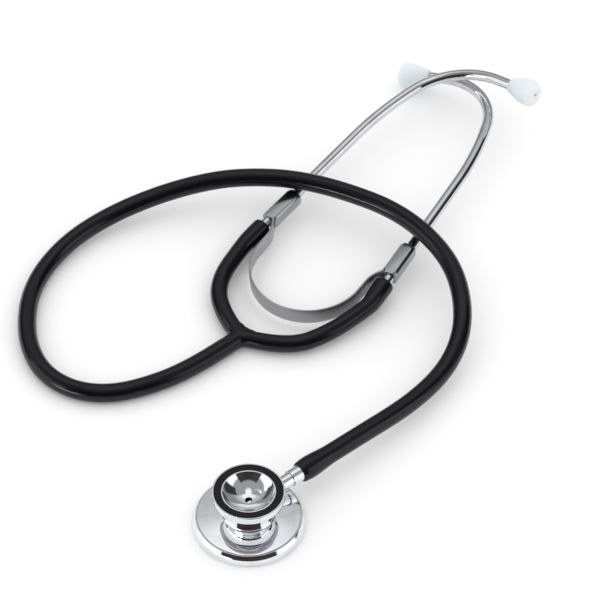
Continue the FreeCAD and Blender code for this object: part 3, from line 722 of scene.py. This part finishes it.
def makeSpringHalf(side, setup):
    sign = sides[side]
    bm = bmesh.new()
    bmesh.ops.create_grid(bm, x_segments=1, y_segments=1, size=0.5)
    bmesh.ops.scale(bm, verts=bm.verts, vec=(setup["thickness"], setup["width"], 1))
    bmesh.ops.bevel(bm, geom=bm.verts[:], offset=setup["edgeRounding"], affect="VERTICES", segments=4,
                    profile=0.5, material=-1)
    bmesh.ops.delete(bm, geom=bm.faces[:], context="FACES_ONLY")
    crown = inBinaural(setup["bowCentre"] - setup["bowRadius"], 0)
    bmesh.ops.transform(bm, matrix=placing(crown, binauralAcross * sign, binauralAlong), verts=bm.verts)
    startRim = bm.edges[:]
    state = {"rim": startRim, "here": crown, "heading": binauralAcross * sign}

    def straightOn(distance):
        grown = bmesh.ops.extrude_edge_only(bm, edges=state["rim"])
        verts = [item for item in grown["geom"] if isinstance(item, bmesh.types.BMVert)]
        bmesh.ops.translate(bm, verts=verts, vec=state["heading"] * distance)
        state["rim"] = [item for item in grown["geom"] if isinstance(item, bmesh.types.BMEdge)]
        state["here"] = state["here"] + state["heading"] * distance
        return verts

    def bent(radius, angle, steps):
        # a positive angle turns the strip towards the side's own inside
        inward = binauralUp.cross(state["heading"]) * sign * (1 if angle > 0 else -1)
        centre = state["here"] + inward * radius
        turn = math.radians(abs(angle)) * sign * (1 if angle > 0 else -1)
        grown = bmesh.ops.spin(bm, geom=state["rim"], cent=centre, axis=binauralUp, angle=turn, steps=steps)
        state["rim"] = [item for item in grown["geom_last"] if isinstance(item, bmesh.types.BMEdge)]
        turned = Matrix.Rotation(turn, 3, binauralUp)
        state["here"] = centre + turned @ (state["here"] - centre)
        state["heading"] = turned @ state["heading"]

    knee = inBinaural(setup["bowCentre"] + setup["straight"], sign * setup["bowRadius"])
    clipPoint = mouths[side] + (tubeAxes[side] * setup["clipStart"] + inwards(side) * tangOffset) * mm
    onward = clipPoint - knee
    kneeTurn = math.degrees(onward.angle(binauralAlong))
    kneeReach = setup["kneeRadius"] * math.tan(math.radians(kneeTurn / 2)) * mm
    tangTurn = math.degrees(onward.angle(tubeAxes[side]))
    tangReach = setup["tangTurn"] * math.tan(math.radians(tangTurn / 2)) * mm
    bent(setup["bowRadius"] * mm, 90, 48)
    straightOn(setup["straight"] * mm - kneeReach)
    bent(setup["kneeRadius"] * mm, -kneeTurn, 12)
    straightOn(onward.length - kneeReach - tangReach)
    bent(setup["tangTurn"] * mm, tangTurn, 10)
    shoulder = straightOn(0.05 * mm)
    middle = state["here"]
    for vert in shoulder:
        vert.co -= binauralUp * (vert.co - middle).dot(binauralUp) * (1 - setup["tangWidth"] / setup["width"])
    straightOn((setup["tangLength"] - 0.05) * mm - tangReach)
    for rim in (startRim, state["rim"]):
        bmesh.ops.edgeloop_fill(bm, edges=rim)
    bmesh.ops.recalc_face_normals(bm, faces=bm.faces)
    piece = addPiece(side + "SpringHalf", bm, springSteel, nodes=["leaf_spring"], sharp=50.0)
    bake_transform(piece)
    return piece


for side in sides:
    makeSpringHalf(side, springSetup)
print("leaf spring ready")


# steel sleeves crimped round the tube and the spring's end
clipSetup = {
    "start": 4.0,
    "length": 19.0,
    "inner": 4.04,  # from the tube's axis towards the middle
    "outer": 3.14,
    "height": 6.8,
    "cornerCut": (5.0, 1.9, 1.5),  # cut off each corner: along, across, and through the height
    "faceEdge": 1.1,  # sloping edge round the flat faces
    "rounding": 0.25,
}


def makeClip(side, setup):
    bm = bmesh.new()
    bmesh.ops.create_cube(bm, size=1.0)
    wide = setup["inner"] + setup["outer"]
    bmesh.ops.scale(bm, verts=bm.verts, vec=(wide, setup["height"], setup["length"]))
    # the flat faces run to a blunt point at each end
    cutAlong, cutAcross, cutThrough = setup["cornerCut"]
    for endSign in (-1, 1):
        for sideSign in (-1, 1):
            for faceSign in (-1, 1):
                corner = Vector((sideSign * wide, faceSign * setup["height"], endSign * setup["length"])) / 2
                normal = Vector((sideSign / cutAcross, faceSign / cutThrough, endSign / cutAlong))
                normal.normalize()
                point = corner - Vector((sideSign * cutAcross, 0, 0))
                cut = bmesh.ops.bisect_plane(bm, geom=bm.verts[:] + bm.edges[:] + bm.faces[:],
                                             clear_outer=True, plane_co=point, plane_no=normal)
                rim = [item for item in cut["geom_cut"] if isinstance(item, bmesh.types.BMEdge)]
                bmesh.ops.edgeloop_fill(bm, edges=rim)
    bmesh.ops.remove_doubles(bm, verts=bm.verts, dist=0.01)
    bmesh.ops.recalc_face_normals(bm, faces=bm.faces)
    long = [edge for edge in bm.edges if edge.calc_length() > setup["length"] * 0.4]
    bmesh.ops.bevel(bm, geom=long, offset=setup["faceEdge"], affect="EDGES", segments=1, profile=0.5,
                    material=-1)
    bmesh.ops.bevel(bm, geom=bm.edges[:], offset=setup["rounding"], affect="EDGES", segments=3, profile=0.5,
                    material=-1, clamp_overlap=True)
    inward = (setup["inner"] - setup["outer"]) / 2
    bmesh.ops.translate(bm, verts=bm.verts, vec=(inward, 0, setup["length"] / 2))
    start = mouths[side] + tubeAxes[side] * (setup["start"] * mm)
    bmesh.ops.transform(bm, matrix=placing(start, tubeAxes[side], inwards(side)), verts=bm.verts)
    bmesh.ops.recalc_face_normals(bm, faces=bm.faces)
    return addPiece(side + "CrimpedClip", bm, clipSteel, side + "_arm", [side + "_clip"], sharp=30.0)


for side in sides:
    makeClip(side, clipSetup)
print("clips ready")

# the chestpiece's hub, with the diaphragm plate below and the bell above
headSetup = {
    "rimRadius": 21.5,
    "plateBottom": 0.4,
    "plateTop": 4.9,
    "plateInner": 6.3,  # height where the plate's slope meets the neck
    "neckRadius": 10.4,
    "footRounding": 0.9,
    "neckTop": 12.2,
    "flare": (0.55, 2.9),  # how far the neck widens above its top, and over what height
    "flangeRadius": 14.95,
    "flange": (16.4, 17.2),
    "lipRadius": 11.3,
    "mouthRadius": 10.7,
    "top": 19.7,
    "bowl": (7.414, 14.735, 5.94),  # where the slopes of the bowl's edge and middle meet, and its rounding
    "portRadius": 1.5,
    "port": (5.0, 14.04),  # the drilled port's bottom and mouth
    "stemHeight": 11.2,
    "boss": (4.6, 5.0, 11.5),  # radius, start and end along the stem
    "barrelHole": (3.04, 6.9, 16.0),
    "grubHoles": [(-4.0, 1, 1.25), (4.0, -1, 1.25)],  # place along the stem, side, radius
    "grubDepth": (6.0, 13.0),  # from the stem's axis
    "steps": 192,
}
stemSideways = Vector((-stemAxis.y, stemAxis.x, 0))


def rodBetween(bm, start, end, radius, segments):
    rod = bmesh.ops.create_cone(bm, cap_ends=True, segments=segments, radius1=radius, radius2=radius,
                                depth=(end - start).length / mm)
    bmesh.ops.transform(bm, matrix=placing((start + end) / 2, end - start), verts=rod["verts"])


def looseObject(name, bm):
    mesh = bpy.data.meshes.new(name)
    bm.to_mesh(mesh)
    bm.free()
    loose = bpy.data.objects.new(name, mesh)
    scene.collection.objects.link(loose)
    return loose


def makeHead(setup):
    rim, neck, foot = setup["rimRadius"], setup["neckRadius"], setup["plateInner"]
    flangeBottom, flangeTop = setup["flange"]
    bowlRadius, bowlHeight, bowlRounding = setup["bowl"]
    portBottom, portMouth = setup["port"]
    flareOut, flareUp = setup["flare"]
    bm = turnedShape([
        (0, setup["plateBottom"]),
        (rim, setup["plateBottom"]),
        (rim, setup["plateTop"] - 0.1),
        (rim - 0.25, setup["plateTop"], 0.1),
        (neck, foot, setup["footRounding"], 10),
        (neck, setup["neckTop"], 1.2, 6),
        (neck + flareOut, setup["neckTop"] + flareUp, 2.0, 14),
        (setup["flangeRadius"] - 1.6, flangeBottom, 0.4),
        (setup["flangeRadius"], flangeBottom, 0.12),
        (setup["flangeRadius"], flangeTop),
        (setup["lipRadius"], flangeTop),
        (setup["lipRadius"], setup["top"], 0.15),
        (setup["mouthRadius"], setup["top"], 0.06, 3),
        (bowlRadius, bowlHeight, bowlRounding, 40),
        (setup["portRadius"], portMouth, 0.12, 4),
        (setup["portRadius"], portBottom),
        (0, portBottom),
    ], steps=setup["steps"])
    bmesh.ops.scale(bm, verts=bm.verts, vec=(mm, mm, mm))
    body = looseObject("headTurning", bm)
    level = Vector((0, 0, setup["stemHeight"] * mm))
    boss = bmesh.new()
    bossRadius, bossStart, bossEnd = setup["boss"]
    rodBetween(boss, level + stemAxis * (bossStart * mm), level + stemAxis * (bossEnd * mm), bossRadius, 96)
    bossObject = looseObject("headBoss", boss)
    holes = bmesh.new()
    holeRadius, holeStart, holeEnd = setup["barrelHole"]
    rodBetween(holes, level + stemAxis * (holeStart * mm), level + stemAxis * (holeEnd * mm), holeRadius, 96)
    grubInner, grubOuter = setup["grubDepth"]
    for place, side, radius in setup["grubHoles"]:
        middle = level + stemAxis * (place * mm)
        inner = middle + stemSideways * (side * grubInner * mm)
        outer = middle + stemSideways * (side * grubOuter * mm)
        rodBetween(holes, inner, outer, radius, 32)
    holesObject = looseObject("headHoles", holes)
    for name, operation, other in (("joinBoss", "UNION", bossObject), ("drill", "DIFFERENCE", holesObject)):
        step = body.modifiers.new(name, "BOOLEAN")
        step.operation = operation
        step.solver = "EXACT"
        step.object = other
    shaped = bpy.data.meshes.new_from_object(body.evaluated_get(bpy.context.evaluated_depsgraph_get()))
    for loose in (body, bossObject, holesObject):
        bpy.data.objects.remove(loose)
    bm = bmesh.new()
    bm.from_mesh(shaped)
    bmesh.ops.recalc_face_normals(bm, faces=bm.faces)
    return addPiece("chestpieceHead", bm, chromeBody, "chestpiece", ["chestpiece_body"], sharp=28.0)


makeHead(headSetup)

# the ring screwed on over the diaphragm: a sloping face above, and a short upright wall
ringSetup = {
    "lip": 20.35,
    "lipTop": 0.06,
    "radius": 23.45,
    "bottom": -0.5,
    "top": 4.6,
    "topRadius": 21.95,
    "shoulder": 2.35,
    "bore": 21.56,
}


def makeRing(setup):
    bm = turnedShape([
        (setup["lip"], setup["bottom"], 0.1),
        (setup["radius"], setup["bottom"], 0.5),
        (setup["radius"], setup["shoulder"], 0.9, 10),
        (setup["topRadius"], setup["top"], 0.18, 6),
        (setup["bore"], setup["top"], 0.08),
        (setup["bore"], setup["lipTop"]),
        (setup["lip"], setup["lipTop"]),
    ], steps=192)
    bmesh.ops.scale(bm, verts=bm.verts, vec=(mm, mm, mm))
    return addPiece("diaphragmRetainer", bm, chromePlate, "chestpiece", ["diaphragm_ring"],
                    sharp=28.0)


makeRing(ringSetup)
print("chestpiece ready")

# the floor lies a little under the table's level, so that it doesn't share a face with the ring
stageSetup = {"size": 6.0, "below": 0.02, "colour": (0.86, 0.86, 0.86), "shade": (0.84, 0.84, 0.845)}


def makeFloor(setup):
    bm = bmesh.new()
    bmesh.ops.create_grid(bm, x_segments=1, y_segments=1, size=setup["size"] / 2)
    bmesh.ops.translate(bm, verts=bm.verts, vec=(0, 0, table - setup["below"] * mm))
    mesh = bpy.data.meshes.new("studioFloor")
    bm.to_mesh(mesh)
    bm.free()
    material, tree, shader, place = newMaterial("floorPaper", Roughness=0.9)
    shader.inputs["Specular IOR Level"].default_value = 0.0
    noise = addNode(tree, "ShaderNodeTexNoise", {"Vector": place, "Scale": 3.0})
    tree.links.new(mixColours(tree, noise.outputs["Fac"], setup["colour"], setup["shade"]),
                   shader.inputs["Base Color"])
    mesh.materials.append(material)
    floor = bpy.data.objects.new("studioFloor", mesh)
    scene.collection.objects.link(floor)


makeFloor(stageSetup)

# The camera sees a plain backdrop, and matt surfaces an even light. Polished metal and plastic
# reflect the cards, whose directions are degrees round from straight in front of the object,
# positive to the right, and degrees up from the horizon.
worldSetup = {
    "backdrop": 1.0,
    "diffuse": 1.28,
    # what lies behind the cards: degrees up, and brightness
    "behind": [(0.0, 0.22), (20.0, 0.30), (45.0, 0.62), (62.0, 1.05), (90.0, 1.1)],
    # round from, round to, soft edge, up from, up to, soft edge, colour; later ones lie over earlier ones
    "cards": [
        (-125.0, 125.0, 14.0, 34.0, 78.0, 10.0, (0.36, 0.37, 0.38)),
        (-110.0, 92.0, 10.0, -5.0, 35.0, 8.0, (1.35, 1.35, 1.37)),
        (92.0, 124.0, 6.0, 2.0, 44.0, 6.0, (0.04, 0.04, 0.045)),
        (-140.0, -104.0, 6.0, -2.0, 24.0, 5.0, (0.09, 0.09, 0.095)),
        (-50.0, 50.0, 5.0, -5.0, 54.0, 9.0, (0.045, 0.047, 0.05)),
        (-22.0, 22.0, 12.0, 8.0, 50.0, 8.0, (0.050, 0.030, 0.029)),
        (-64.0, -30.0, 6.0, 0.5, 6.0, 1.0, (15.0, 15.0, 15.5)),
    ],
}


def makeWorld(setup):
    world = bpy.data.worlds.new("studio")
    scene.world = world
    world.use_nodes = True
    tree = world.node_tree
    tree.nodes.clear()
    place = addNode(tree, "ShaderNodeTexCoord").outputs["Generated"]
    parts = addNode(tree, "ShaderNodeSeparateXYZ", {"Vector": place})
    away = addNode(tree, "ShaderNodeMath", {0: parts.outputs["Y"], 1: -1.0}, operation="MULTIPLY")
    turn = addNode(tree, "ShaderNodeMath", {0: parts.outputs["X"], 1: away.outputs[0]},
                   operation="ARCTAN2").outputs[0]
    height = addNode(tree, "ShaderNodeMath", {0: parts.outputs["Z"]}, operation="ARCSINE").outputs[0]

    def ramp(value, low, high):
        return addNode(tree, "ShaderNodeMapRange", {
            "Value": value, "From Min": math.radians(low), "From Max": math.radians(high)},
            interpolation_type="SMOOTHSTEP").outputs["Result"]

    def band(value, low, high, edge):
        rise = ramp(value, low - edge / 2, low + edge / 2)
        fall = ramp(value, high + edge / 2, high - edge / 2)
        return addNode(tree, "ShaderNodeMath", {0: rise, 1: fall}, operation="MULTIPLY").outputs[0]

    colour = None
    for (low, start), (high, finish) in zip(setup["behind"], setup["behind"][1:]):
        mix = addNode(tree, "ShaderNodeMix", {0: ramp(height, low, high)}, data_type="RGBA")
        if colour:
            tree.links.new(colour, mix.inputs[6])
        else:
            mix.inputs[6].default_value = (start, start, start, 1)
        mix.inputs[7].default_value = (finish, finish, finish, 1)
        colour = mix.outputs[2]
    for left, right, sideEdge, bottom, top, endEdge, tint in setup["cards"]:
        sideways = band(turn, left, right, sideEdge)
        upwards = band(height, bottom, top, endEdge)
        mask = addNode(tree, "ShaderNodeMath", {0: sideways, 1: upwards}, operation="MULTIPLY")
        mix = addNode(tree, "ShaderNodeMix", {0: mask.outputs[0], 6: colour}, data_type="RGBA")
        mix.inputs[7].default_value = (*tint, 1)
        colour = mix.outputs[2]
    around = addNode(tree, "ShaderNodeBackground", {"Color": colour, "Strength": 1.0})
    even = addNode(tree, "ShaderNodeBackground", {"Color": (1, 1, 1, 1), "Strength": setup["diffuse"]})
    seen = addNode(tree, "ShaderNodeBackground", {"Color": (1, 1, 1, 1), "Strength": setup["backdrop"]})
    path = addNode(tree, "ShaderNodeLightPath")
    lit = addNode(tree, "ShaderNodeMixShader", {
        0: path.outputs["Is Glossy Ray"], 1: even.outputs[0], 2: around.outputs[0]})
    mix = addNode(tree, "ShaderNodeMixShader", {
        0: path.outputs["Is Camera Ray"], 1: lit.outputs[0], 2: seen.outputs[0]})
    output = addNode(tree, "ShaderNodeOutputWorld")
    tree.links.new(mix.outputs[0], output.inputs["Surface"])


makeWorld(worldSetup)
scene.view_settings.view_transform = "Standard"
print("floor and surroundings ready")

# finishes of the CAD nodes that stay
finishes = {
    chromePlate: ["bell_ring", "stem"],
    tubeChrome: ["left_tip_nipple", "right_tip_nipple"],
    grubSteel: ["detent_ball", "detent_spring", "detent_screw", "retaining_screw"],
    blackRubber: ["non_chill_ring", "stem_o_ring"],
    laminateSheet: ["diaphragm"],
}
for material, names in finishes.items():
    for name in names:
        for slotIndex in range(max(1, len(frame["nodes"][name].material_slots))):
            if frame["nodes"][name].material_slots:
                frame["nodes"][name].material_slots[slotIndex].material = material
            else:
                frame["nodes"][name].data.materials.append(material)
print("CAD nodes finished")
